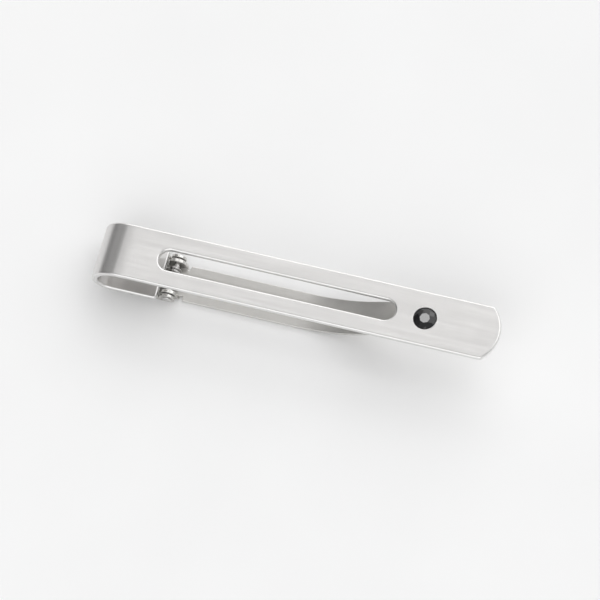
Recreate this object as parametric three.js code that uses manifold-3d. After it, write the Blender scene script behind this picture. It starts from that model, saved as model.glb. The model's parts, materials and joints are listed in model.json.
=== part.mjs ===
// Tie bar: a slotted steel front bar with a black stone, and a sprung back arm hinged behind its bend.
// Millimetres. +X runs along the bar to its tip, +Z out of the front face, and Y across the bar.
// Inside the assembly x = 0 is where the flat face ends and the bend begins, and z = 0 is the underside
// of the back arm.
import * as THREE from "three";
import { ConvexGeometry } from "three/addons/geometries/ConvexGeometry.js";
import { mergeVertices } from "three/addons/utils/BufferGeometryUtils.js";
import Module from "manifold-3d";

// Front bar
const LENGTH = 57.5; // outside of the bend to the tip
const WIDTH = 7.8;
const THICKNESS = 0.9;
const BEND_RADIUS = 4.0; // outside of the bend's front quarter
const RETURN_RADIUS = 2.6; // outside of its tighter back quarter
const RETURN_END = 5.0; // end of the straight leg behind the bend
const EDGE_BREAK = 0.12; // chamfer along every edge of the bar
const TIP_RADIUS = 5.2;
const TIP_CORNER = 0.7;
const SLOT_START = 5.0;
const SLOT_LENGTH = 33.7;
const SLOT_WIDTH = 3.0;

// Stone and its blind seat
const STONE_X = 42.9;
const STONE_DIAMETER = 3.1;
const SEAT_DIAMETER = 3.2;
const SEAT_DEPTH = 0.62;
const STONE_STANDS_PROUD = 0.16;
const GIRDLE_BELOW_FACE = 0.14;
const GIRDLE_HEIGHT = 0.08;
const TABLE_SHARE = 0.46; // table width over stone width
const STAR_SHARE = 0.78; // where the star facets end, as a share of the stone's radius
const BACK_SHARE = 0.72; // flat back width over stone width

// Back arm
const ARM_THICKNESS = 0.5;
const ARM_WIDTH = 5.2;
const ARM_TIP_WIDTH = 4.4;
const LEVER_END = -3.1;
const LEVER_CORNER = 1.6;
const RAMP_START = 24.5;
const RAMP_END = 45.8;
const ARM_END = 50.9;
const LIP_LENGTH = 2.2;
const LIP_ANGLE = THREE.MathUtils.degToRad(28);
const ARM_TIP_CORNER = 1.5;
const TOOTH_HEIGHT = 0.15;
const TOOTH_PITCH = 0.7;
const TEETH = 4;
const GRIP_GAP = 0.05; // between the shut arm's teeth and the front bar

// Hinge
const LEVER_GAP = 1.2; // from the thumb lever to the return leg
const HINGE_X = 6.3;
const HINGE_Z = 1.45;
const PIN_RADIUS = 0.4;
const PIN_CLEARANCE = 0.06;
const PIN_HEAD_RADIUS = 0.66;
const PIN_HEAD_HEIGHT = 0.2;
const ARM_EAR_RADIUS = 1.0;
const ARM_EAR_THICKNESS = 0.5;
const ARM_EAR_FOOT = 1.5; // half the length of the ear where it leaves the strip
const BRACKET_EAR_RADIUS = 1.05;
const BRACKET_THICKNESS = 0.4;
const BRACKET_START = 1.7;
const FLANGE_HEIGHT = 0.8; // of the bracket's folded sides
const EAR_GAP = 0.2; // between the arm's ears and the bracket's
const WELD_GAP = 0.02; // between pieces that are welded, glued or peened together

// Torsion spring
const WIRE_RADIUS = 0.17;
const COIL_RADIUS = 0.68; // to the middle of the wire
const COIL_PITCH = 0.42;
const COIL_TURNS = 6.75;
const SPRING_LEG_END = 4.2;
const WIRE_STEPS_PER_TURN = 14;

const CURVE_STEPS = 16; // points on each quarter turn of a large bend
const ROUND_STEPS = 24; // sides of a pin, hole or head
const SAME_POINT = 1e-5;

// Heights that follow from the dimensions above
const RETURN_BOTTOM = ARM_THICKNESS + LEVER_GAP;
const FACE_Z = RETURN_BOTTOM + RETURN_RADIUS + BEND_RADIUS;
const BAR_UNDERSIDE = FACE_Z - THICKNESS;
const TIP_X = LENGTH - BEND_RADIUS;
const BRACKET_INSIDE = ARM_WIDTH / 2 + EAR_GAP;
const BRACKET_OUTSIDE = BRACKET_INSIDE + BRACKET_THICKNESS;

const wasm = await Module();
wasm.setup();

const satinSteel = new THREE.MeshStandardMaterial({ color: 0xdcdad8, metalness: 1, roughness: 0.38 });
const springSteel = new THREE.MeshStandardMaterial({ color: 0xbfbcb6, metalness: 1, roughness: 0.3 });
const wireSteel = new THREE.MeshStandardMaterial({ color: 0xa8a6a2, metalness: 1, roughness: 0.25 });
const blackStone = new THREE.MeshStandardMaterial({ color: 0x060606, metalness: 0, roughness: 0.04 });

// Booleans

function solidOf(geometry) {
  const bare = geometry.clone();
  bare.deleteAttribute("normal");
  bare.deleteAttribute("uv");
  const merged = mergeVertices(bare, 1e-4);
  return new wasm.Manifold(
    new wasm.Mesh({
      numProp: 3,
      vertProperties: merged.attributes.position.array,
      triVerts: new Uint32Array(merged.index.array),
    }),
  );
}

function geometryOf(solid) {
  const { vertProperties, triVerts } = solid.getMesh();
  const geometry = new THREE.BufferGeometry();
  geometry.setAttribute("position", new THREE.BufferAttribute(vertProperties, 3));
  geometry.setIndex(new THREE.BufferAttribute(triVerts, 1));
  geometry.computeVertexNormals();
  return geometry;
}

function meshOf(name, solid, material) {
  const mesh = new THREE.Mesh(geometryOf(solid), material);
  mesh.name = name;
  return mesh;
}

// Shapes

function block(low, high) {
  const size = high.map((value, axis) => value - low[axis]);
  const box = new THREE.BoxGeometry(...size);
  box.translate(...low.map((value, axis) => value + size[axis] / 2));
  return solidOf(box);
}

// A path's points, with each pair that coincides where two curves join made one.
function cornersOf(path) {
  const points = path.getPoints(CURVE_STEPS);
  return points.filter((point, index) => point.distanceTo(points.at(index - 1)) > SAME_POINT);
}

function extruded(outline, depth, chamfer) {
  const shape = new THREE.Shape(cornersOf(outline));
  shape.holes = (outline.holes ?? []).map((hole) => new THREE.Path(cornersOf(hole)));
  return new THREE.ExtrudeGeometry(shape, {
    depth: depth - 2 * chamfer,
    bevelEnabled: chamfer > 0,
    bevelThickness: chamfer,
    bevelSize: chamfer,
    bevelOffset: -chamfer,
    bevelSegments: 1,
  });
}

// A plan outline raised from z = low to z = high, with its edges broken by a chamfer.
function raised(outline, low, high, chamfer = 0) {
  return solidOf(extruded(outline, high - low, chamfer).translate(0, 0, low + chamfer));
}

// A side outline, drawn as x and z, spread across the bar from y = low to y = high.
function spread(outline, low, high, chamfer = 0) {
  const geometry = extruded(outline, high - low, chamfer).rotateX(Math.PI / 2);
  return solidOf(geometry.translate(0, high - chamfer, 0));
}

// A round bar across the clip, on the hinge's axis.
function acrossHinge(radius, low, high) {
  const cylinder = new THREE.CylinderGeometry(radius, radius, high - low, ROUND_STEPS);
  cylinder.translate(HINGE_X, (low + high) / 2, HINGE_Z);
  return solidOf(cylinder);
}

// The closed outline of a strip of even thickness that follows a side view's centreline.
function stripOutline(path, thickness) {
  const points = cornersOf(path);
  const sides = [1, -1].map((side) =>
    points.map((point, index) => {
      const before = points[Math.max(index - 1, 0)];
      const after = points[Math.min(index + 1, points.length - 1)];
      const along = after.clone().sub(before).normalize();
      const out = new THREE.Vector2(-along.y, along.x);
      return point.clone().addScaledVector(out, (side * thickness) / 2);
    }),
  );
  return new THREE.Shape([...sides[0], ...sides[1].reverse()]);
}

// Front bar

function slotHole() {
  const radius = SLOT_WIDTH / 2;
  const hole = new THREE.Path();
  hole.absarc(SLOT_START + radius, 0, radius, Math.PI / 2, (3 * Math.PI) / 2, false);
  hole.absarc(SLOT_START + SLOT_LENGTH - radius, 0, radius, -Math.PI / 2, Math.PI / 2, false);
  hole.closePath();
  return hole;
}

// The flat of the bar seen from the front: straight sides, small corners and a shallow round tip.
function faceOutline(startX) {
  const half = WIDTH / 2;
  const tipCentre = TIP_X - TIP_RADIUS;
  const cornerY = half - TIP_CORNER;
  const reach = TIP_RADIUS - TIP_CORNER;
  const cornerX = tipCentre + Math.sqrt(reach ** 2 - cornerY ** 2);
  const swing = Math.atan2(cornerY, cornerX - tipCentre);
  const outline = new THREE.Shape();
  outline.moveTo(startX, -half);
  outline.lineTo(cornerX, -half);
  outline.absarc(cornerX, -cornerY, TIP_CORNER, -Math.PI / 2, -swing, false);
  outline.absarc(tipCentre, 0, TIP_RADIUS, -swing, swing, false);
  outline.absarc(cornerX, cornerY, TIP_CORNER, swing, Math.PI / 2, false);
  outline.lineTo(startX, half);
  outline.closePath();
  outline.holes.push(slotHole());
  return outline;
}

// The bend's centreline: a wide quarter turn behind the face, then a tighter one into the return leg.
function bendPath(startX) {
  const half = THICKNESS / 2;
  const returnX = RETURN_RADIUS - BEND_RADIUS;
  const bendZ = FACE_Z - BEND_RADIUS;
  const path = new THREE.Path();
  path.moveTo(startX, FACE_Z - half);
  path.lineTo(0, FACE_Z - half);
  path.absarc(0, bendZ, BEND_RADIUS - half, Math.PI / 2, Math.PI, false);
  path.absarc(returnX, bendZ, RETURN_RADIUS - half, Math.PI, (3 * Math.PI) / 2, false);
  path.lineTo(RETURN_END, RETURN_BOTTOM + half);
  return path;
}

function makeFrontBar() {
  const spare = 1;
  const lap = 0.05;
  const half = WIDTH / 2;
  const face = raised(faceOutline(-spare), BAR_UNDERSIDE, FACE_Z, EDGE_BREAK).subtract(
    block([-2 * spare, -WIDTH, BAR_UNDERSIDE - spare], [0, WIDTH, FACE_Z + spare]),
  );
  const bend = spread(stripOutline(bendPath(spare), THICKNESS), -half, half, EDGE_BREAK).subtract(
    block([lap, -WIDTH, BAR_UNDERSIDE - lap], [2 * spare, WIDTH, FACE_Z + spare]),
  );
  const seatRadius = SEAT_DIAMETER / 2;
  const seat = new THREE.CylinderGeometry(seatRadius, seatRadius, 2 * SEAT_DEPTH, 2 * ROUND_STEPS);
  seat.rotateX(Math.PI / 2);
  seat.translate(STONE_X, 0, FACE_Z);
  return meshOf("front_bar", face.add(bend).subtract(solidOf(seat)), satinSteel);
}

// Stone

function ring(count, radius, z, turn = 0) {
  return Array.from({ length: count }, (_, index) => {
    const angle = ((index + turn) * 2 * Math.PI) / count;
    return new THREE.Vector3(STONE_X + radius * Math.cos(angle), radius * Math.sin(angle), z);
  });
}

// A brilliant crown on a shallow tapered back. The star height keeps each kite facet flat.
function makeStone() {
  const radius = STONE_DIAMETER / 2;
  const table = radius * TABLE_SHARE;
  const star = radius * STAR_SHARE;
  const top = FACE_Z + STONE_STANDS_PROUD;
  const girdle = FACE_Z - GIRDLE_BELOW_FACE;
  const starReach = star * Math.cos(Math.PI / 8);
  const starZ = top + ((starReach - table) * (girdle - top)) / (radius - table);
  const points = [
    ...ring(8, table, top),
    ...ring(8, star, starZ, 0.5),
    ...ring(16, radius, girdle),
    ...ring(16, radius, girdle - GIRDLE_HEIGHT),
    ...ring(16, radius * BACK_SHARE, FACE_Z - SEAT_DEPTH + WELD_GAP),
  ];
  return meshOf("stone", solidOf(new ConvexGeometry(points)), blackStone);
}

// Hinge bracket

// A folded side seen from the side: a low flange under the return leg, then a round ear on the pin's axis.
function bracketEarOutline() {
  const top = RETURN_BOTTOM - WELD_GAP;
  const bottom = top - FLANGE_HEIGHT;
  const outline = new THREE.Shape();
  const topTurn = Math.asin((top - HINGE_Z) / BRACKET_EAR_RADIUS);
  outline.moveTo(BRACKET_START, top);
  outline.lineTo(BRACKET_START, bottom);
  outline.lineTo(RETURN_END - BRACKET_EAR_RADIUS, bottom);
  outline.lineTo(HINGE_X, HINGE_Z - BRACKET_EAR_RADIUS);
  outline.absarc(HINGE_X, HINGE_Z, BRACKET_EAR_RADIUS, -Math.PI / 2, Math.PI - topTurn, false);
  outline.closePath();
  return outline;
}

function makeHingeBracket() {
  const top = RETURN_BOTTOM - WELD_GAP;
  const web = block(
    [BRACKET_START, -BRACKET_OUTSIDE, top - BRACKET_THICKNESS],
    [RETURN_END, BRACKET_OUTSIDE, top],
  );
  const ears = [-BRACKET_OUTSIDE, BRACKET_INSIDE].map((low) =>
    spread(bracketEarOutline(), low, low + BRACKET_THICKNESS),
  );
  const hole = acrossHinge(PIN_RADIUS + PIN_CLEARANCE, -WIDTH, WIDTH);
  return meshOf("hinge_bracket", web.add(ears[0]).add(ears[1]).subtract(hole), springSteel);
}

// Hinge pin, turned as one profile from head to head

function makeHingePin() {
  const shoulder = BRACKET_OUTSIDE + WELD_GAP;
  const crown = shoulder + PIN_HEAD_HEIGHT;
  const profile = new THREE.Path();
  profile.moveTo(0, -crown);
  profile.quadraticCurveTo(PIN_HEAD_RADIUS, -crown, PIN_HEAD_RADIUS, -shoulder);
  profile.lineTo(PIN_RADIUS, -shoulder);
  profile.lineTo(PIN_RADIUS, shoulder);
  profile.lineTo(PIN_HEAD_RADIUS, shoulder);
  profile.quadraticCurveTo(PIN_HEAD_RADIUS, crown, 0, crown);
  const turned = new THREE.LatheGeometry(profile.getPoints(5), ROUND_STEPS);
  turned.translate(HINGE_X, 0, HINGE_Z);
  return meshOf("hinge_pin", solidOf(turned), springSteel);
}

// Torsion spring: a leg on the lever, turns round the pin, and a leg bent in under the bracket

class Coil extends THREE.Curve {
  getPoint(share, target = new THREE.Vector3()) {
    const turned = share * COIL_TURNS;
    const angle = 2 * Math.PI * turned - Math.PI / 2;
    return target.set(
      HINGE_X + COIL_RADIUS * Math.cos(angle),
      (turned - COIL_TURNS / 2) * COIL_PITCH,
      HINGE_Z + COIL_RADIUS * Math.sin(angle),
    );
  }
}

function springPath() {
  const coil = new Coil();
  const start = coil.getPoint(0);
  const end = coil.getPoint(1);
  const legZ = RETURN_BOTTOM - WELD_GAP - BRACKET_THICKNESS - WELD_GAP - WIRE_RADIUS;
  const corner = new THREE.Vector3(end.x, end.y, legZ);
  const bent = new THREE.Vector3(end.x + legZ - end.z, end.y, legZ);
  const path = new THREE.CurvePath();
  path.add(new THREE.LineCurve3(new THREE.Vector3(SPRING_LEG_END, start.y, start.z), start));
  path.add(coil);
  path.add(new THREE.QuadraticBezierCurve3(end, corner, bent));
  path.add(new THREE.LineCurve3(bent, new THREE.Vector3(SPRING_LEG_END, end.y, legZ)));
  return path;
}

function makeTorsionSpring() {
  const section = new THREE.Shape().absarc(0, 0, WIRE_RADIUS, 0, 2 * Math.PI, false);
  const wire = new THREE.ExtrudeGeometry(section, {
    steps: Math.round(WIRE_STEPS_PER_TURN * (COIL_TURNS + 1)),
    curveSegments: 4,
    extrudePath: springPath(),
  });
  return meshOf("torsion_spring", solidOf(wire), wireSteel);
}

// Back arm

// The strip from the lever's end along the flat run, up an S-shaped ramp to the grip, and down the lip.
function armPath() {
  const low = ARM_THICKNESS / 2;
  const high = BAR_UNDERSIDE - GRIP_GAP - TOOTH_HEIGHT - ARM_THICKNESS / 2;
  const run = RAMP_END - RAMP_START;
  const turn = 2 * Math.atan((high - low) / run);
  const radius = run / 2 / Math.sin(turn);
  const lipStart = ARM_END - LIP_LENGTH;
  const lipRadius = LIP_LENGTH / Math.sin(LIP_ANGLE);
  const path = new THREE.Path();
  path.moveTo(LEVER_END, low);
  path.lineTo(RAMP_START, low);
  path.absarc(RAMP_START, low + radius, radius, -Math.PI / 2, -Math.PI / 2 + turn, false);
  path.absarc(RAMP_END, high - radius, radius, Math.PI / 2 + turn, Math.PI / 2, true);
  path.absarc(lipStart, high - lipRadius, lipRadius, Math.PI / 2, Math.PI / 2 - LIP_ANGLE, true);
  return path;
}

// The strip seen from above: a rounded lever, straight sides, and a taper to the rounded lip.
function armPlan() {
  const half = ARM_WIDTH / 2;
  const tipHalf = ARM_TIP_WIDTH / 2;
  const leverX = LEVER_END + LEVER_CORNER;
  const lipX = ARM_END - ARM_TIP_CORNER;
  const plan = new THREE.Shape();
  plan.absarc(leverX, -half + LEVER_CORNER, LEVER_CORNER, Math.PI, (3 * Math.PI) / 2, false);
  plan.lineTo(RAMP_START, -half);
  plan.absarc(lipX, -tipHalf + ARM_TIP_CORNER, ARM_TIP_CORNER, -Math.PI / 2, 0, false);
  plan.absarc(lipX, tipHalf - ARM_TIP_CORNER, ARM_TIP_CORNER, 0, Math.PI / 2, false);
  plan.lineTo(RAMP_START, half);
  plan.absarc(leverX, half - LEVER_CORNER, LEVER_CORNER, Math.PI / 2, Math.PI, false);
  plan.closePath();
  return plan;
}

function armEarOutline() {
  const foot = ARM_THICKNESS / 2;
  const outline = new THREE.Shape();
  outline.moveTo(HINGE_X - ARM_EAR_FOOT, foot);
  outline.lineTo(HINGE_X + ARM_EAR_FOOT, foot);
  outline.absarc(HINGE_X, HINGE_Z, ARM_EAR_RADIUS, 0, Math.PI, false);
  outline.closePath();
  return outline;
}

function gripTooth(index) {
  const root = BAR_UNDERSIDE - GRIP_GAP - TOOTH_HEIGHT;
  const x = RAMP_END + (index + 0.5) * TOOTH_PITCH;
  const outline = new THREE.Shape();
  outline.moveTo(x - TOOTH_PITCH / 2, root - TOOTH_HEIGHT);
  outline.lineTo(x + TOOTH_PITCH / 2, root - TOOTH_HEIGHT);
  outline.lineTo(x + TOOTH_PITCH / 2, root);
  outline.lineTo(x, root + TOOTH_HEIGHT);
  outline.lineTo(x - TOOTH_PITCH / 2, root);
  outline.closePath();
  return spread(outline, -ARM_TIP_WIDTH / 2, ARM_TIP_WIDTH / 2);
}

function makeBackArm() {
  const half = ARM_WIDTH / 2;
  let arm = spread(stripOutline(armPath(), ARM_THICKNESS), -half, half);
  for (let index = 0; index < TEETH; index += 1) {
    arm = arm.add(gripTooth(index));
  }
  arm = arm.intersect(raised(armPlan(), -ARM_THICKNESS, FACE_Z));
  for (const low of [-half, half - ARM_EAR_THICKNESS]) {
    arm = arm.add(spread(armEarOutline(), low, low + ARM_EAR_THICKNESS));
  }
  const hole = acrossHinge(PIN_RADIUS + PIN_CLEARANCE, -WIDTH, WIDTH);
  return meshOf("back_arm", arm.subtract(hole), springSteel);
}

const frontAssembly = new THREE.Group();
frontAssembly.add(makeFrontBar(), makeStone(), makeHingeBracket(), makeHingePin());

const armAssembly = new THREE.Group();
armAssembly.add(makeBackArm(), makeTorsionSpring());

// The origin is the middle of the bounding box, on the surface the clip lies on.
const assembly = new THREE.Group();
assembly.position.x = BEND_RADIUS - LENGTH / 2;
assembly.add(frontAssembly, armAssembly);

const tieBar = new THREE.Group();
tieBar.add(assembly);

export default tieBar;
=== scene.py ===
# Looks for a tie bar: a slotted steel front bar with a black stone, and a sprung back arm behind it.
#
# The sheet metal parts are made as the real ones are. Each starts as a flat blank with rounded edges and
# is then bent. A blank has its own coordinates: u along it, v across it and w through its thickness.
# Dimensions are in millimetres, measured from where the flat face ends and the bend begins, with z = 0 at
# the underside of the back arm. to_frame turns them into metres in the CAD frame.
import json
import math

import bmesh
import bpy
from mathutils import Matrix, Vector


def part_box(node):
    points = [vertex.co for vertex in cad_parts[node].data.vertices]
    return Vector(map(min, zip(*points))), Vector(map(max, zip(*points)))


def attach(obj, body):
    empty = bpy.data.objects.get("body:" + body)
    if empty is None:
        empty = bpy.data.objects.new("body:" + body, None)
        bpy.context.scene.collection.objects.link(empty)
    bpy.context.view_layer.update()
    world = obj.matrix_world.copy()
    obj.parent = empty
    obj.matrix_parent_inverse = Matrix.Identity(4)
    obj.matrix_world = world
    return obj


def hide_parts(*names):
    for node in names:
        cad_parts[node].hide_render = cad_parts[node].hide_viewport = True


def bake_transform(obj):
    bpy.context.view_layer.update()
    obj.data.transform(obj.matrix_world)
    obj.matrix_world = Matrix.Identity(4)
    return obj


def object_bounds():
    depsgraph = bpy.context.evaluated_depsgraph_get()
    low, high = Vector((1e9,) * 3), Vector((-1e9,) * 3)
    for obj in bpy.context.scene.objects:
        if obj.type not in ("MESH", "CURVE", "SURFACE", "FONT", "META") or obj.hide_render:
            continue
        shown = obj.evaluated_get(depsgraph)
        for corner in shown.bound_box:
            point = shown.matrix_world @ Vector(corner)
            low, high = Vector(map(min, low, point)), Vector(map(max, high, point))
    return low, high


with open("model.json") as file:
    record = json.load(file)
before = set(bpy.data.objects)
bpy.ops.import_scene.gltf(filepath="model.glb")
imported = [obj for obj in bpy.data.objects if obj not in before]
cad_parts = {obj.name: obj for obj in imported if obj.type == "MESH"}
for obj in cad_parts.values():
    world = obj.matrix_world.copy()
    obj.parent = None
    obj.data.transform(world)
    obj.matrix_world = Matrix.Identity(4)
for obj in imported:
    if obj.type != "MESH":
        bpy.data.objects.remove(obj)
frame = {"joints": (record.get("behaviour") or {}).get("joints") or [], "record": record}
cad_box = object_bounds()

MM = 0.001

# Measured on the frame
mounts = {mount["name"]: Vector(mount["pos_m"]) / MM for mount in frame["record"]["mounts"]}
bar_low, bar_high = (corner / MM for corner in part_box("front_bar"))
arm_low, arm_high = (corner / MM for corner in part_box("back_arm"))
pin_low, pin_high = (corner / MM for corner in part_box("hinge_pin"))
bracket_low, bracket_high = (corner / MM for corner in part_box("hinge_bracket"))
hinge = Vector(frame["joints"][0]["pos_m"]) / MM

# Front bar
BEND_RADIUS = 4.0  # outside of the bend's front quarter
START_X = bar_low.x + BEND_RADIUS  # where the flat face ends, in the frame
FACE_Z = bar_high.z
WIDTH = bar_high.y - bar_low.y
TIP_X = bar_high.x - START_X
THICKNESS = FACE_Z - mounts["tie_front_face"].z
RETURN_BOTTOM = bar_low.z
RETURN_RADIUS = FACE_Z - RETURN_BOTTOM - BEND_RADIUS
RETURN_END = 5.0
RETURN_CORNER = 0.5
BAR_EDGE = 0.28  # radius of the polished edges
EASE_LENGTH = 1.6  # a gentle curve that leads from the flat face into the bend
EASE_TURN = math.radians(4)
TIP_RADIUS = 5.2
TIP_CORNER = 0.7
SLOT_START = 5.0
SLOT_END = 38.7
SLOT_WIDTH = 3.0

# Stone and its blind seat
STONE_X = 42.9
STONE_DIAMETER = 3.1
SEAT_DIAMETER = 3.2
SEAT_DEPTH = 0.62
SEAT_EDGE = 0.09
STONE_STANDS_PROUD = 0.16
GIRDLE_BELOW_FACE = 0.14
GIRDLE_HEIGHT = 0.08
TABLE_SIDES = 8
TABLE_SHARE = 0.46  # table width over stone width
STAR_SHARE = 0.78  # where the star facets end, as a share of the radius
BACK_SHARE = 0.72  # the flat back's width over the stone's
GAP = 0.02  # between pieces that are glued, welded or only touch

# Back arm
ARM_THICKNESS = mounts["tie_back_face"].z
ARM_WIDTH = arm_high.y - arm_low.y
ARM_TIP_WIDTH = 4.4
ARM_TAPER_BEND = 20  # radius of the outline where the arm begins to taper
ARM_EDGE = 0.1
LEVER_END = arm_low.x - START_X
LEVER_CORNER = 1.6
RAMP_START = 24.5
RAMP_END = 45.8
LIP_START = 48.7
LIP_ANGLE = math.radians(28)
LIP_LENGTH = 2.2
ARM_TIP_CORNER = 1.5
TOOTH_HEIGHT = 0.15
TOOTH_PITCH = 0.7
TEETH = 4
GRIP_GAP = 0.05

# Hinge
HINGE_X = hinge.x - START_X
HINGE_Z = hinge.z
PIN_RADIUS = 0.4
PIN_HOLE_RADIUS = 0.46
PIN_HEAD_RADIUS = (pin_high.z - pin_low.z) / 2
PIN_HEAD_HEIGHT = 0.2
PIN_RIM_SHARE = 0.3  # of the head's height, below its dome
EAR_FOOT = 3.0  # length of the arm's ears where they leave the strip
EAR_WIDTH = 2.0
EAR_CORNER = 0.98  # nearly half of its width, so that an ear ends round
FOLD_RADIUS = 0.4  # of the middle of the sheet where an ear is folded
RELIEF = 0.3  # width of the notch beside a folded ear
RELIEF_CORNER = 0.14
RELIEF_INSIDE = 0.05  # how far the notch reaches past the fold into the flat
NOTCH_CORNER = 0.12
BRACKET_START = bracket_low.x - START_X
BRACKET_THICKNESS = 0.4
BRACKET_EDGE = 0.08
BRACKET_EAR_WIDTH = 2.1
BRACKET_CORNER = 0.25
FLANGE_HEIGHT = 0.8
FLANGE_TO_EAR = 1.3  # length of the slope between a flange and its ear
FLANGE_BEND = 0.6  # radius of the outline where the slope begins
EAR_THROAT = 0.7  # how far before the hinge the slope meets the ear
THROAT_BEND = 1.0
NOTCH_PAST_FOLD = 0.03
BRACKET_TOP = RETURN_BOTTOM - GAP

# Torsion spring
WIRE_RADIUS = 0.17
COIL_RADIUS = 0.68
COIL_PITCH = 0.42
COIL_TURNS = 6.75
SPRING_LEG_END = 4.2

# Fineness of the meshes
ARC_STEPS = 12
EDGE_STEPS = 4
BEND_STEP = math.radians(5)
TOOTH_STEPS = 8
ROUND_STEPS = 48
WIRE_RESOLUTION = 4  # Blender's bevel resolution
SHARP_EDGE = math.radians(50)
SAME_PLANE = math.radians(0.5)
SAME_POINT = 1e-3  # millimetres

QUARTER = math.pi / 2


# Outlines: closed lists of (point, outward normal), anticlockwise round metal, clockwise round a hole


def arc(u, v, radius, start, end, steps=ARC_STEPS):
    """Points and outward normals along an arc given in degrees. A clockwise arc is a hollow."""
    side = 1 if end > start else -1
    made = []
    for index in range(steps + 1):
        angle = math.radians(start + (end - start) * index / steps)
        radial = Vector((math.cos(angle), math.sin(angle)))
        made.append((Vector((u, v)) + radius * radial, side * radial))
    return made


def circle(u, v, radius):
    """A round hole."""
    return arc(u, v, radius, 360, 0, ROUND_STEPS)


def rounded(corners):
    """An outline through (u, v, radius) corners joined by straight lines."""
    made = []
    for index, (u, v, radius) in enumerate(corners):
        corner = Vector((u, v))
        before = (corner - Vector(corners[index - 1][:2])).normalized()
        after = (Vector(corners[(index + 1) % len(corners)][:2]) - corner).normalized()
        turn = math.atan2(before.cross(after), before.dot(after))
        inward = Vector((-before.y, before.x)) * math.copysign(radius, turn)
        centre = corner - before * radius * math.tan(abs(turn) / 2) + inward
        start = math.degrees(math.atan2(-inward.y, -inward.x))
        made += arc(*centre, radius, start, start + math.degrees(turn))
    return made


def mirrored(corners):
    """Corners along the near side, followed by their mirror images back along the far side."""
    return corners + [(u, -v, radius) for u, v, radius in reversed(corners)]


# Places: functions from (u, v) to a point on the bent sheet's middle and a matrix of its directions


class Centreline:
    """A bent strip seen from the side: its start and heading, then (length, turn) stretches."""

    def __init__(self, x, z, heading, stretches):
        self.start = (x, z, heading)
        self.stretches = stretches

    def at(self, u):
        """The point and heading at distance u along the strip."""
        x, z, heading = self.start
        for index, (length, turn) in enumerate(self.stretches):
            last = index == len(self.stretches) - 1
            share = u / length if last else min(u / length, 1)
            angle = turn * share
            chord = length * share
            if turn:
                chord *= math.sin(angle / 2) / (angle / 2) if angle else 1
            x += chord * math.cos(heading + angle / 2)
            z += chord * math.sin(heading + angle / 2)
            heading += angle
            u -= length
            if u <= 0 or last:
                return x, z, heading

    def place(self, u, v):
        """Where (u, v) of the blank ends up."""
        x, z, heading = self.at(u)
        along = Vector((math.cos(heading), 0, math.sin(heading)))
        across = Vector((0, 1, 0))
        return Vector((x, v, z)), axes(along, across)

    def cuts(self):
        """Distances at which to cut the blank so that it bends smoothly."""
        made = []
        begun = 0
        for length, turn in self.stretches:
            steps = math.ceil(abs(turn) / BEND_STEP)
            made += [begun + length * index / steps for index in range(steps + 1)] if steps else []
            begun += length
        return sorted(set(made))


def axes(along, across):
    """A matrix whose columns are a sheet's directions along it, across it and out of it."""
    return Matrix((along, across, along.cross(across))).transposed()


def fold(v, flat, direction):
    """Where v lands on a sheet folded up (1) or down (-1) past its flat middle: y, rise, direction."""
    past = abs(v) - flat
    if past <= 0:
        return v, 0, Vector((0, 1, 0))
    side = math.copysign(1, v)
    angle = min(past / FOLD_RADIUS, QUARTER)
    beyond = max(past - QUARTER * FOLD_RADIUS, 0)
    y = side * (flat + FOLD_RADIUS * math.sin(angle))
    rise = direction * (FOLD_RADIUS * (1 - math.cos(angle)) + beyond)
    return y, rise, Vector((0, math.cos(angle), side * direction * math.sin(angle)))


def fold_cuts(flat):
    """Cuts across the two folds of a sheet."""
    steps = math.ceil(QUARTER / (2 * BEND_STEP))
    offsets = [flat + QUARTER * FOLD_RADIUS * index / steps for index in range(steps + 1)]
    return offsets + [-offset for offset in offsets]


# Meshes


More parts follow.
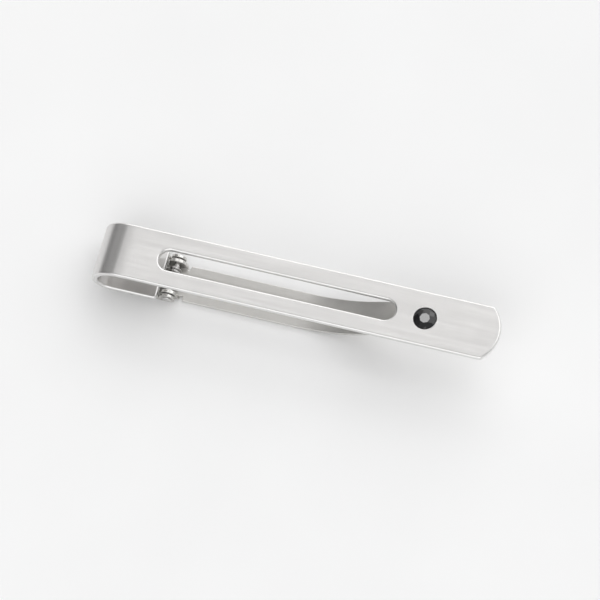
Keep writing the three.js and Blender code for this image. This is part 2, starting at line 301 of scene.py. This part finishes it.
class Blank:
    """A flat sheet with rounded edges, to be cut across and bent. It carries its own exact normals."""

    def __init__(self, outline, holes, thickness, edge):
        self.bm = bmesh.new()
        self.normal = self.bm.verts.layers.float_vector.new("sheet_normal")
        self.blank = self.bm.verts.layers.float_vector.new("blank")
        self.polish_and_highlight = self.bm.verts.layers.float.new("polish_and_highlight")
        self.half = thickness / 2
        self.faces = {1: [], -1: []}
        for loop in (outline, *holes):
            rings = [self.ring(loop, *level) for level in self.side(-1, edge)]
            rings += [self.ring(loop, *level) for level in reversed(self.side(1, edge))]
            self.faces[-1].append(rings[0])
            self.faces[1].append(rings[-1])
            self.join(rings)

    def side(self, face, edge):
        """(inset, w, tilt) of the rings round one face's edge, from the flat of the face outwards."""
        made = []
        for index in range(EDGE_STEPS + 1):
            angle = QUARTER * index / EDGE_STEPS
            w = self.half - edge * (1 - math.cos(angle))
            made.append((edge * (1 - math.sin(angle)), face * w, face * (QUARTER - angle)))
        return made

    def ring(self, loop, inset, w, tilt):
        """The loop moved into the metal by inset, at height w. Its normals tilt up by tilt."""
        made = []
        for index, (point, outward) in enumerate(loop):
            if (point - loop[index - 1][0]).length < SAME_POINT:
                continue
            vert = self.bm.verts.new((*(point - inset * outward), w))
            vert[self.normal] = (*(math.cos(tilt) * outward), math.sin(tilt))
            # 1 on an edge's wall and 0 on a flat face: smoother steel there, and a brighter colour that
            # paints a highlight
            vert[self.polish_and_highlight] = math.cos(tilt)
            made.append(vert)
        return made

    def join(self, rings):
        """Walls between neighbouring rings."""
        for lower, upper in zip(rings, rings[1:]):
            for index in range(len(lower)):
                self.bm.faces.new((lower[index - 1], lower[index], upper[index], upper[index - 1]))

    def pocket(self, loop, depth, fillet):
        """A flat-bottomed pocket sunk from the upper face, its lip as round as its bottom corner."""
        floor = self.half - depth
        levels = []
        for index in range(EDGE_STEPS + 1):
            angle = QUARTER * index / EDGE_STEPS
            inset = -fillet * (1 - math.sin(angle))
            levels.append((inset, floor + fillet * (1 - math.cos(angle)), QUARTER - angle))
        rings = [self.ring(loop, *level) for level in levels]
        rings += [self.ring(loop, *level) for level in reversed(self.side(1, fillet))]
        self.faces[1].append(rings[-1])
        self.join(rings)
        self.bm.faces.new(rings[0])

    def close(self):
        """Fills both faces between their loops."""
        for face, loops in self.faces.items():
            pairs = [(loop[index - 1], loop[index]) for loop in loops for index in range(len(loop))]
            edges = [self.bm.edges.get(pair) for pair in pairs]
            bmesh.ops.triangle_fill(self.bm, edges=edges, use_beauty=True, normal=(0, 0, face))

    def cut(self, axis, places):
        """Cuts the sheet at each place along u (axis 0) or v (axis 1)."""
        for place in places:
            point, square = Vector(), Vector()
            point[axis] = place
            square[axis] = 1
            bmesh.ops.bisect_plane(
                self.bm,
                geom=[*self.bm.verts, *self.bm.edges, *self.bm.faces],
                dist=SAME_POINT,
                plane_co=point,
                plane_no=square,
            )

    def bend(self, place):
        """Moves the flat sheet onto its bent middle, and keeps where each point was in the blank."""
        for vert in self.bm.verts:
            u, v, w = vert.co
            vert[self.blank] = vert.co
            middle, directions = place(u, v)
            vert.co = middle + w * directions.col[2]
            vert[self.normal] = directions @ vert[self.normal]

    def made(self, name):
        """The finished piece in the frame."""
        bmesh.ops.dissolve_degenerate(self.bm, dist=SAME_POINT, edges=self.bm.edges)
        bmesh.ops.recalc_face_normals(self.bm, faces=self.bm.faces)
        mesh = bpy.data.meshes.new(name)
        self.bm.to_mesh(mesh)
        self.bm.free()
        mesh.transform(to_frame())
        normals = [item.vector.normalized() for item in mesh.attributes["sheet_normal"].data]
        mesh.attributes.remove(mesh.attributes["sheet_normal"])
        mesh.shade_smooth()
        mesh.normals_split_custom_set_from_vertices(normals)
        return linked(name, mesh)


def to_frame():
    """From millimetres measured at the start of the bend to metres in the frame."""
    return Matrix.Diagonal((MM, MM, MM, 1)) @ Matrix.Translation((START_X, 0, 0))


def linked(name, mesh):
    made = bpy.data.objects.new(name, mesh)
    bpy.context.scene.collection.objects.link(made)
    return made


def lathe(name, profile):
    """A solid turned about the hinge axis from (y, radius) points. The first and last are on the axis."""
    bm = bmesh.new()
    turns = [2 * math.pi * index / ROUND_STEPS for index in range(ROUND_STEPS)]
    around = [(math.cos(turn), math.sin(turn)) for turn in turns]
    rings = []
    for y, radius in profile[1:-1]:
        ring = [(HINGE_X + radius * x, y, HINGE_Z + radius * z) for x, z in around]
        rings.append([bm.verts.new(point) for point in ring])
    poles = [bm.verts.new((HINGE_X, profile[end][0], HINGE_Z)) for end in (0, -1)]
    for index in range(ROUND_STEPS):
        for near, far in zip(rings, rings[1:]):
            bm.faces.new((near[index - 1], near[index], far[index], far[index - 1]))
        bm.faces.new((poles[0], rings[0][index], rings[0][index - 1]))
        bm.faces.new((poles[1], rings[-1][index - 1], rings[-1][index]))
    bmesh.ops.recalc_face_normals(bm, faces=bm.faces)
    mesh = bpy.data.meshes.new(name)
    bm.to_mesh(mesh)
    bm.free()
    mesh.transform(to_frame())
    mesh.shade_smooth()
    mesh.set_sharp_from_angle(angle=SHARP_EDGE)
    return linked(name, mesh)


def wire(name, points, radius):
    """A round wire with closed ends along points."""
    curve = bpy.data.curves.new(name, "CURVE")
    curve.dimensions = "3D"
    curve.bevel_depth = radius
    curve.bevel_resolution = WIRE_RESOLUTION
    curve.use_fill_caps = True
    spline = curve.splines.new("POLY")
    spline.points.add(len(points) - 1)
    for place, point in zip(spline.points, points):
        place.co = (*point, 1)
    shape = bpy.data.objects.new(name + "_curve", curve)
    mesh = bpy.data.meshes.new_from_object(shape)
    bpy.data.objects.remove(shape)
    bpy.data.curves.remove(curve)
    bm = bmesh.new()
    bm.from_mesh(mesh)
    bmesh.ops.remove_doubles(bm, verts=bm.verts, dist=SAME_POINT)
    bm.to_mesh(mesh)
    bm.free()
    mesh.transform(to_frame())
    mesh.shade_smooth()
    mesh.set_sharp_from_angle(angle=SHARP_EDGE)
    return linked(name, mesh)


# Front bar


def bar_centreline():
    """From the end of the return leg, round the tighter and then the wider quarter, to the face."""
    half = THICKNESS / 2
    leg = RETURN_END + BEND_RADIUS - RETURN_RADIUS
    ease_radius = EASE_LENGTH / EASE_TURN
    rise = BEND_RADIUS - half - ease_radius * (1 - math.cos(EASE_TURN))
    radius = rise / math.cos(EASE_TURN)
    ease_start = radius * (1 - math.sin(EASE_TURN)) - BEND_RADIUS + half
    face_start = ease_start + ease_radius * math.sin(EASE_TURN)
    stretches = [
        (leg, 0),
        (QUARTER * (RETURN_RADIUS - half), -QUARTER),
        ((QUARTER - EASE_TURN) * radius, EASE_TURN - QUARTER),
        (EASE_LENGTH, -EASE_TURN),
        (TIP_X - face_start, 0),
    ]
    return Centreline(RETURN_END, RETURN_BOTTOM + half, math.pi, stretches)


def bar_outline(origin):
    """The whole blank. origin is how far along it x = 0 is, measured back from the tip."""
    half = WIDTH / 2
    corner = RETURN_CORNER
    tip_centre = TIP_X - TIP_RADIUS
    corner_v = half - TIP_CORNER
    corner_x = tip_centre + math.sqrt((TIP_RADIUS - TIP_CORNER) ** 2 - corner_v**2)
    swing = math.degrees(math.atan2(corner_v, corner_x - tip_centre))
    return [
        *arc(corner, corner - half, corner, 180, 270),
        *arc(origin + corner_x, -corner_v, TIP_CORNER, -90, -swing),
        *arc(origin + tip_centre, 0, TIP_RADIUS, -swing, swing, 2 * ARC_STEPS),
        *arc(origin + corner_x, corner_v, TIP_CORNER, swing, 90),
        *arc(corner, half - corner, corner, 90, 180),
    ]


def slot(origin):
    """A long hole with round ends."""
    radius = SLOT_WIDTH / 2
    return [
        *arc(origin + SLOT_END - radius, 0, radius, 90, -90, 2 * ARC_STEPS),
        *arc(origin + SLOT_START + radius, 0, radius, 270, 90, 2 * ARC_STEPS),
    ]


def make_front_bar():
    """A strip with a slot and a blind seat for the stone, bent back on itself at one end."""
    centreline = bar_centreline()
    origin = sum(length for length, _ in centreline.stretches) - TIP_X
    blank = Blank(bar_outline(origin), [slot(origin)], THICKNESS, BAR_EDGE)
    blank.pocket(circle(origin + STONE_X, 0, SEAT_DIAMETER / 2), SEAT_DEPTH, SEAT_EDGE)
    blank.close()
    blank.cut(0, centreline.cuts())
    blank.bend(centreline.place)
    return blank.made("slotted_front_bar")


# Stone


def stone_ring(bm, count, radius, z, turn=0):
    """Corners round the stone's axis, turned by a share of the step between two of them."""
    for index in range(count):
        angle = (index + turn) * 2 * math.pi / count
        bm.verts.new((STONE_X + radius * math.cos(angle), radius * math.sin(angle), z))


def make_stone():
    """A brilliant crown on a tapered back. The star height keeps each kite facet flat."""
    radius = STONE_DIAMETER / 2
    table = radius * TABLE_SHARE
    star = radius * STAR_SHARE
    top = FACE_Z + STONE_STANDS_PROUD
    girdle = FACE_Z - GIRDLE_BELOW_FACE
    star_reach = star * math.cos(math.pi / TABLE_SIDES)
    star_z = top + (star_reach - table) * (girdle - top) / (radius - table)
    bm = bmesh.new()
    stone_ring(bm, TABLE_SIDES, table, top)
    stone_ring(bm, TABLE_SIDES, star, star_z, 0.5)
    stone_ring(bm, 2 * TABLE_SIDES, radius, girdle)
    stone_ring(bm, 2 * TABLE_SIDES, radius, girdle - GIRDLE_HEIGHT)
    stone_ring(bm, 2 * TABLE_SIDES, radius * BACK_SHARE, FACE_Z - SEAT_DEPTH + GAP)
    bmesh.ops.convex_hull(bm, input=bm.verts)
    bmesh.ops.dissolve_limit(bm, angle_limit=SAME_PLANE, verts=bm.verts, edges=bm.edges)
    mesh = bpy.data.meshes.new("faceted_stone")
    bm.to_mesh(mesh)
    bm.free()
    mesh.transform(to_frame())
    return linked("faceted_stone", mesh)


# Hinge bracket


def make_hinge_bracket():
    """A channel folded down at both sides, with round ears past the end of its web for the pin."""
    half = BRACKET_THICKNESS / 2
    middle_z = BRACKET_TOP - half
    ear_y = bracket_high.y - half
    flat = ear_y - FOLD_RADIUS
    folded = flat + QUARTER * FOLD_RADIUS
    fold_end_z = middle_z - FOLD_RADIUS
    hole_v = folded + fold_end_z - HINGE_Z
    flange_v = folded + fold_end_z - (BRACKET_TOP - FLANGE_HEIGHT)
    radius = BRACKET_EAR_WIDTH / 2
    notch = HINGE_X - radius
    notch_v = folded + NOTCH_PAST_FOLD
    near_side = [
        (BRACKET_START, -flange_v, BRACKET_CORNER),
        (notch - FLANGE_TO_EAR, -flange_v, FLANGE_BEND),
        (HINGE_X - EAR_THROAT, -hole_v - radius, THROAT_BEND),
        (HINGE_X + radius, -hole_v - radius, radius),
        (HINGE_X + radius, -hole_v + radius, radius),
        (notch, -hole_v + radius, radius),
        (notch, -notch_v, NOTCH_CORNER),
        (RETURN_END, -notch_v, NOTCH_CORNER),
    ]
    web_end = (RETURN_END + notch) / 2

    def place(u, v):
        y, rise, across = fold(v, flat, -1)
        if u > web_end:
            side = math.copysign(1, v)
            y = side * ear_y
            rise = folded - FOLD_RADIUS - abs(v)
            across = Vector((0, 0, -side))
        return Vector((u, y, middle_z + rise)), axes(Vector((1, 0, 0)), across)

    holes = [circle(HINGE_X, side * hole_v, PIN_HOLE_RADIUS) for side in (-1, 1)]
    blank = Blank(rounded(mirrored(near_side)), holes, BRACKET_THICKNESS, BRACKET_EDGE)
    blank.close()
    blank.cut(1, fold_cuts(flat))
    blank.bend(place)
    return blank.made("folded_hinge_bracket")


# Hinge pin


def make_hinge_pin():
    """A straight pin with a domed head peened at each end."""
    shoulder = pin_high.y - PIN_HEAD_HEIGHT
    rim = PIN_RIM_SHARE * PIN_HEAD_HEIGHT
    dome = []
    for index in range(ARC_STEPS + 1):
        angle = QUARTER * index / ARC_STEPS
        rise = rim + (PIN_HEAD_HEIGHT - rim) * math.sin(angle)
        dome.append((shoulder + rise, PIN_HEAD_RADIUS * math.cos(angle)))
    end = [
        (shoulder, PIN_RADIUS),
        (shoulder, PIN_HEAD_RADIUS - rim / 2),
        (shoulder + rim / 2, PIN_HEAD_RADIUS),
        *dome,
    ]
    end[-1] = (pin_high.y, 0)
    start = [(-y, radius) for y, radius in reversed(end)]
    return lathe("riveted_hinge_pin", start + end)


# Torsion spring


def spring_points():
    """Along the lever, round the pin, and back under the bracket."""
    steps = round(COIL_TURNS * ROUND_STEPS / 2)
    coil = []
    for index in range(steps + 1):
        turned = COIL_TURNS * index / steps
        angle = 2 * math.pi * turned - QUARTER
        x = HINGE_X + COIL_RADIUS * math.cos(angle)
        y = (turned - COIL_TURNS / 2) * COIL_PITCH
        z = HINGE_Z + COIL_RADIUS * math.sin(angle)
        coil.append(Vector((x, y, z)))
    leg_z = BRACKET_TOP - BRACKET_THICKNESS - GAP - WIRE_RADIUS
    first, last = coil[0], coil[-1]
    radius = leg_z - last.z
    corner = []
    for index in range(1, ARC_STEPS + 1):
        angle = QUARTER * index / ARC_STEPS
        corner.append(last + radius * Vector((1 - math.cos(angle), 0, math.sin(angle))))
    return [
        Vector((SPRING_LEG_END, first.y, first.z)),
        *coil,
        *corner,
        Vector((SPRING_LEG_END, last.y, leg_z)),
    ]


def make_torsion_spring():
    return wire("torsion_spring_wire", spring_points(), WIRE_RADIUS)


# Back arm


def arm_centreline():
    """Lever and flat run, an S-shaped ramp, the grip, and the lip that turns away from the tie."""
    low = ARM_THICKNESS / 2
    high = FACE_Z - THICKNESS - GRIP_GAP - TOOTH_HEIGHT - low
    run = RAMP_END - RAMP_START
    turn = 2 * math.atan((high - low) / run)
    ramp = turn * run / 2 / math.sin(turn)
    stretches = [
        (RAMP_START - LEVER_END, 0),
        (ramp, turn),
        (ramp, -turn),
        (LIP_START - RAMP_END, 0),
        (LIP_LENGTH / math.sin(LIP_ANGLE) * LIP_ANGLE, -LIP_ANGLE),
    ]
    return Centreline(LEVER_END, low, 0, stretches)


def raise_teeth(blank, start):
    """Presses rounded ridges up from the grip's upper face."""
    steps = range(TEETH * TOOTH_STEPS + 1)
    blank.cut(0, [start + TOOTH_PITCH * index / TOOTH_STEPS for index in steps])
    for vert in blank.bm.verts:
        share = (vert.co.x - start) / TOOTH_PITCH
        if vert.co.z > 0 and 0 < share < TEETH:
            wave = 2 * math.pi * share
            slope = math.pi * TOOTH_HEIGHT / TOOTH_PITCH * math.sin(wave)
            vert.co.z += TOOTH_HEIGHT * (1 - math.cos(wave)) / 2
            normal = vert[blank.normal]
            vert[blank.normal] = (normal - Vector((slope * normal.z, 0, 0))).normalized()


def make_back_arm():
    """A tapering spring strip with an ear folded up at each side for the pin."""
    centreline = arm_centreline()
    length = sum(stretch for stretch, _ in centreline.stretches)
    grip_start = sum(stretch for stretch, _ in centreline.stretches[:3])
    half = ARM_WIDTH / 2
    tip_half = ARM_TIP_WIDTH / 2
    flat = half - ARM_THICKNESS / 2 - FOLD_RADIUS
    folded = flat + QUARTER * FOLD_RADIUS
    hinge_u = HINGE_X - LEVER_END
    hole_v = folded + HINGE_Z - ARM_THICKNESS / 2 - FOLD_RADIUS
    ear_end = hole_v + EAR_WIDTH / 2
    foot = (hinge_u - EAR_FOOT / 2, hinge_u + EAR_FOOT / 2)
    notch_v = flat - RELIEF_INSIDE
    near_side = [
        (0, -half, LEVER_CORNER),
        (foot[0] - RELIEF, -half, NOTCH_CORNER),
        (foot[0] - RELIEF, -notch_v, RELIEF_CORNER),
        (foot[0], -notch_v, RELIEF_CORNER),
        (hinge_u - EAR_WIDTH / 2, -ear_end, EAR_CORNER),
        (hinge_u + EAR_WIDTH / 2, -ear_end, EAR_CORNER),
        (foot[1], -notch_v, RELIEF_CORNER),
        (foot[1] + RELIEF, -notch_v, RELIEF_CORNER),
        (foot[1] + RELIEF, -half, NOTCH_CORNER),
        (RAMP_START - LEVER_END, -half, ARM_TAPER_BEND),
        (length, -tip_half, ARM_TIP_CORNER),
    ]

    def place(u, v):
        middle, directions = centreline.place(u, v)
        if foot[0] - RELIEF / 2 < u < foot[1] + RELIEF / 2:
            y, rise, across = fold(v, flat, 1)
            middle = Vector((middle.x, y, middle.z + rise))
            directions = axes(Vector((1, 0, 0)), across)
        return middle, directions

    holes = [circle(hinge_u, side * hole_v, PIN_HOLE_RADIUS) for side in (-1, 1)]
    blank = Blank(rounded(mirrored(near_side)), holes, ARM_THICKNESS, ARM_EDGE)
    blank.close()
    blank.cut(0, centreline.cuts())
    blank.cut(1, fold_cuts(flat))
    raise_teeth(blank, grip_start)
    blank.bend(place)
    return blank.made("sprung_back_arm")


# Materials. The blank attribute is in millimetres, and Object coordinates are in metres.


class Nodes:
    """A short way to write a material's nodes."""

    def __init__(self, name):
        self.material = bpy.data.materials.new(name)
        self.material.use_nodes = True
        self.tree = self.material.node_tree
        self.shader = self.tree.nodes["Principled BSDF"]

    def add(self, kind, inputs=(), **settings):
        """A node of that kind. inputs are (socket, value or other node's output) pairs."""
        made = self.tree.nodes.new("ShaderNode" + kind)
        for name, value in settings.items():
            setattr(made, name, value)
        for socket, value in inputs:
            self.feed(made.inputs[socket], value)
        return made

    def feed(self, socket, value):
        if isinstance(value, bpy.types.NodeSocket):
            self.tree.links.new(value, socket)
        else:
            socket.default_value = value

    def noise(self, where, stretch, detail=3.0):
        """Noise from 0 to 1 whose grains are 1/stretch long each way."""
        scaled = self.add("VectorMath", [(0, where), (1, stretch)], operation="MULTIPLY")
        made = self.add("TexNoise", [("Vector", scaled.outputs[0]), ("Scale", 1.0), ("Detail", detail)])
        return made.outputs["Fac"]

    def spread(self, value, low, high, from_low=0.3, from_high=0.7):
        """value moved to low..high from the range given, which is where noise mostly lies."""
        inputs = [("Value", value), (1, from_low), (2, from_high), (3, low), (4, high)]
        return self.add("MapRange", inputs).outputs[0]

    def sum(self, first, second):
        return self.add("Math", [(0, first), (1, second)], operation="ADD").outputs[0]

    def product(self, first, second):
        return self.add("Math", [(0, first), (1, second)], operation="MULTIPLY").outputs[0]

    def mix(self, share, first, second):
        """A colour between two, or a blend of two colour sockets."""
        made = self.add("Mix", data_type="RGBA")
        for name, value in (("Factor_Float", share), ("A_Color", first), ("B_Color", second)):
            socket = next(item for item in made.inputs if item.identifier == name)
            self.feed(socket, value)
        return next(item for item in made.outputs if item.identifier == "Result_Color")

    def bump(self, height, depth):
        """Bumps depth millimetres deep."""
        made = self.add("Bump", [("Height", height), ("Distance", depth * MM), ("Strength", 1.0)])
        self.feed(self.shader.inputs["Normal"], made.outputs["Normal"])

    def surface(self, **values):
        for name, value in values.items():
            self.feed(self.shader.inputs[name.replace("_", " ")], value)
        return self.material


BROAD_SHARE = 0.22  # broad streaks against fine ones, in grains per millimetre
CLOUD = (0.35, 0.35, 0.35)  # grains per millimetre of the slow changes of tone


def sheet_steel(name, colour, edge_highlight_colour, roughness, edge_roughness, grain, grain_depth):
    """Sheet steel with smoother edges, whose brighter colour there is a painted highlight. grain is in
    grains per millimetre along u, v and w.
    """
    nodes = Nodes(name)
    where = nodes.add("Attribute", attribute_name="blank").outputs["Vector"]
    polish_and_highlight = nodes.add("Attribute", attribute_name="polish_and_highlight").outputs["Fac"]
    fine = nodes.noise(where, grain)
    broad = nodes.noise(where, tuple(BROAD_SHARE * part for part in grain), 2.0)
    cloud = nodes.noise(where, CLOUD, 2.0)
    low, high = ((*(share * part for part in colour), 1) for share in (0.97, 1.03))
    mottle = nodes.sum(nodes.product(fine, 0.5), nodes.product(cloud, 0.5))
    tinted = nodes.mix(nodes.spread(mottle, 0, 1), low, high)
    # Painted highlight: the edges are given a brighter colour than the face
    base = nodes.mix(nodes.spread(polish_and_highlight, 0, 0.9, 0.2, 0.9), tinted, (*edge_highlight_colour, 1))
    flat_rough = nodes.spread(broad, roughness - 0.03, roughness + 0.03)
    drop = nodes.spread(polish_and_highlight, 0, edge_roughness - roughness, 0.2, 0.9)
    nodes.bump(fine, grain_depth)
    return nodes.surface(Base_Color=base, Metallic=1.0, Roughness=nodes.sum(flat_rough, drop))


def satin_steel():
    """The front bar's steel, brushed along its length."""
    return sheet_steel(
        "satin_steel",
        colour=(0.72, 0.71, 0.70),
        # brighter colour along the edges: a painted highlight
        edge_highlight_colour=(0.80, 0.80, 0.79),
        roughness=0.33,
        edge_roughness=0.28,
        grain=(0.3, 11, 11),
        grain_depth=0.003,
    )


def spring_steel():
    """The arm's and the bracket's steel, a little darker and with a shorter, rolled grain."""
    return sheet_steel(
        "spring_steel",
        colour=(0.60, 0.59, 0.57),
        # brighter colour along the edges: a painted highlight
        edge_highlight_colour=(0.72, 0.71, 0.69),
        roughness=0.40,
        edge_roughness=0.26,
        grain=(1.6, 5, 5),
        grain_depth=0.006,
    )


def pin_steel():
    """Turned steel with faint rings and hammered dimples on its heads."""
    nodes = Nodes("pin_steel")
    where = nodes.add("TexCoord").outputs["Object"]
    dimples = nodes.noise(where, (2600, 2600, 2600), 2.0)
    scratches = nodes.noise(where, (9000, 900, 9000), 3.0)
    base = nodes.mix(nodes.spread(dimples, 0, 1), (0.60, 0.59, 0.58, 1), (0.72, 0.71, 0.70, 1))
    nodes.bump(nodes.sum(dimples, nodes.product(scratches, 0.3)), 0.02)
    return nodes.surface(Base_Color=base, Metallic=1.0, Roughness=nodes.spread(scratches, 0.22, 0.36))


def wire_steel():
    """Drawn spring wire, a little darker than the sheet, with fine draw lines."""
    nodes = Nodes("wire_steel")
    where = nodes.add("TexCoord").outputs["Object"]
    lines = nodes.noise(where, (3000, 14000, 3000), 3.0)
    cloud = nodes.noise(where, (900, 900, 900), 2.0)
    base = nodes.mix(nodes.spread(cloud, 0, 1), (0.44, 0.43, 0.42, 1), (0.56, 0.55, 0.54, 1))
    nodes.bump(lines, 0.004)
    return nodes.surface(Base_Color=base, Metallic=1.0, Roughness=nodes.spread(lines, 0.24, 0.36))


def black_stone():
    """Opaque black stone, polished, with the faintest wear on its facets."""
    nodes = Nodes("black_stone")
    where = nodes.add("TexCoord").outputs["Object"]
    wear = nodes.noise(where, (2500, 2500, 2500), 4.0)
    base = nodes.mix(nodes.spread(wear, 0, 1), (0.004, 0.004, 0.005, 1), (0.008, 0.008, 0.009, 1))
    nodes.bump(wear, 0.0003)
    return nodes.surface(Base_Color=base, Roughness=nodes.spread(wear, 0.02, 0.05), IOR=1.55)


# Stage


VIEW = Vector((0.19, -0.33, 0.925)).normalized()  # from the object to the camera
ROLL = math.radians(12.9)  # how far the bar slopes down to the right
LENS = 600
SENSOR = 36
SEEN_ACROSS = 0.082  # metres across the picture at the object
FACE_MIRROR = Vector((-VIEW.x, -VIEW.y, VIEW.z))  # what the flat face reflects into the camera
FLOOR_HALF = 5.0
FLOOR_Z = -0.02 * MM  # a hair below the arm's flat underside, so that the two surfaces don't coincide
AMBIENT = 0.55
FLAG = Vector((-0.90, 0.38, 0.12)).normalized()  # the side of the studio that is kept dark
FLAG_SHADE = 0.3  # what is left of the ambient light there
FLAG_BEGINS = 0.42  # cosines of the angles from its middle where the shade begins and is full
FLAG_FULL = 0.78
CLIP_END = 20
LIGHTS = (  # name, direction towards it, how many degrees wide it is seen, brightness
    ("key", FACE_MIRROR, 5, 8.4),
    ("fill_right", (0.55, 0.5, 0.8), 56, 1.2),
    ("fill_left", (-0.64, 0.64, 0.42), 36, 0.6),
    ("fill_front", (0.1, -0.9, 0.7), 60, 1.1),
    ("fill_back", (-0.1, 0.95, 0.45), 50, 1.5),
)


def make_floor():
    nodes = Nodes("paper_floor")
    where = nodes.add("TexCoord").outputs["Object"]
    fibre = nodes.noise(where, (40, 40, 40), 2.0)
    base = nodes.mix(nodes.spread(fibre, 0, 1), (0.92, 0.92, 0.92, 1), (0.94, 0.94, 0.94, 1))
    material = nodes.surface(Base_Color=base, Roughness=0.9, Specular_IOR_Level=0.0)
    mesh = bpy.data.meshes.new("floor")
    signs = ((-1, -1), (1, -1), (1, 1), (-1, 1))
    corners = [(x * FLOOR_HALF, y * FLOOR_HALF, FLOOR_Z) for x, y in signs]
    mesh.from_pydata(corners, [], [(0, 1, 2, 3)])
    mesh.materials.append(material)
    linked("floor", mesh)


def add_light(name, direction, spread_degrees, brightness):
    """A distant round light. brightness is that of its own surface."""
    light = bpy.data.lights.new(name, "SUN")
    light.angle = math.radians(spread_degrees)
    light.energy = brightness * math.pi * math.sin(light.angle / 2) ** 2
    made = bpy.data.objects.new(name, light)
    made.rotation_mode = "QUATERNION"
    made.rotation_quaternion = Vector(direction).to_track_quat("Z", "Y")
    bpy.context.scene.collection.objects.link(made)


def make_lights():
    world = bpy.data.worlds.new("studio")
    world.use_nodes = True
    tree = world.node_tree
    background = tree.nodes["Background"]
    background.inputs["Color"].default_value = (1, 1, 1, 1)
    direction = tree.nodes.new("ShaderNodeTexCoord").outputs["Generated"]
    toward = tree.nodes.new("ShaderNodeVectorMath")
    toward.operation = "DOT_PRODUCT"
    toward.inputs[1].default_value = FLAG
    tree.links.new(direction, toward.inputs[0])
    shade = tree.nodes.new("ShaderNodeMapRange")
    shade.interpolation_type = "SMOOTHSTEP"
    inputs = shade.inputs
    inputs["From Min"].default_value = FLAG_BEGINS
    inputs["From Max"].default_value = FLAG_FULL
    inputs["To Min"].default_value = AMBIENT
    inputs["To Max"].default_value = FLAG_SHADE * AMBIENT
    tree.links.new(toward.outputs["Value"], shade.inputs["Value"])
    tree.links.new(shade.outputs["Result"], background.inputs["Strength"])
    bpy.context.scene.world = world
    for light in LIGHTS:
        add_light(*light)


def make_camera():
    data = bpy.data.cameras.new("camera")
    data.lens = LENS
    data.sensor_width = SENSOR
    data.clip_end = CLIP_END
    camera = bpy.data.objects.new("camera", data)
    along = (Vector((1, 0, 0)) - VIEW.x * VIEW).normalized()
    above = VIEW.cross(along)
    right = math.cos(ROLL) * along + math.sin(ROLL) * above
    up = VIEW.cross(right)
    low, high = cad_box
    distance = SEEN_ACROSS * LENS / SENSOR
    camera.matrix_world = Matrix((right, up, VIEW)).transposed().to_4x4()
    camera.location = (low + high) / 2 + distance * VIEW
    bpy.context.scene.collection.objects.link(camera)
    bpy.context.scene.camera = camera


# Assembly

PIECES = (
    (make_front_bar, satin_steel, "front_bar", "bar", "satin_steel"),
    (make_stone, black_stone, "stone", "bar", "black_stone"),
    (make_hinge_bracket, spring_steel, "hinge_bracket", "bar", "spring_steel"),
    (make_hinge_pin, pin_steel, "hinge_pin", "bar", "pin_steel"),
    (make_back_arm, spring_steel, "back_arm", "arm", "spring_steel"),
)

for make, finish, node, body, slot_name in PIECES:
    piece = make()
    piece.data.materials.append(finish())
    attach(piece, body)
    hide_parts(node)

# The spring is made in the frame and fixed to neither body.
spring = make_torsion_spring()
spring.data.materials.append(wire_steel())
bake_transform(spring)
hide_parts("torsion_spring")

make_floor()
make_lights()
make_camera()
bpy.context.scene.view_settings.view_transform = "Standard"
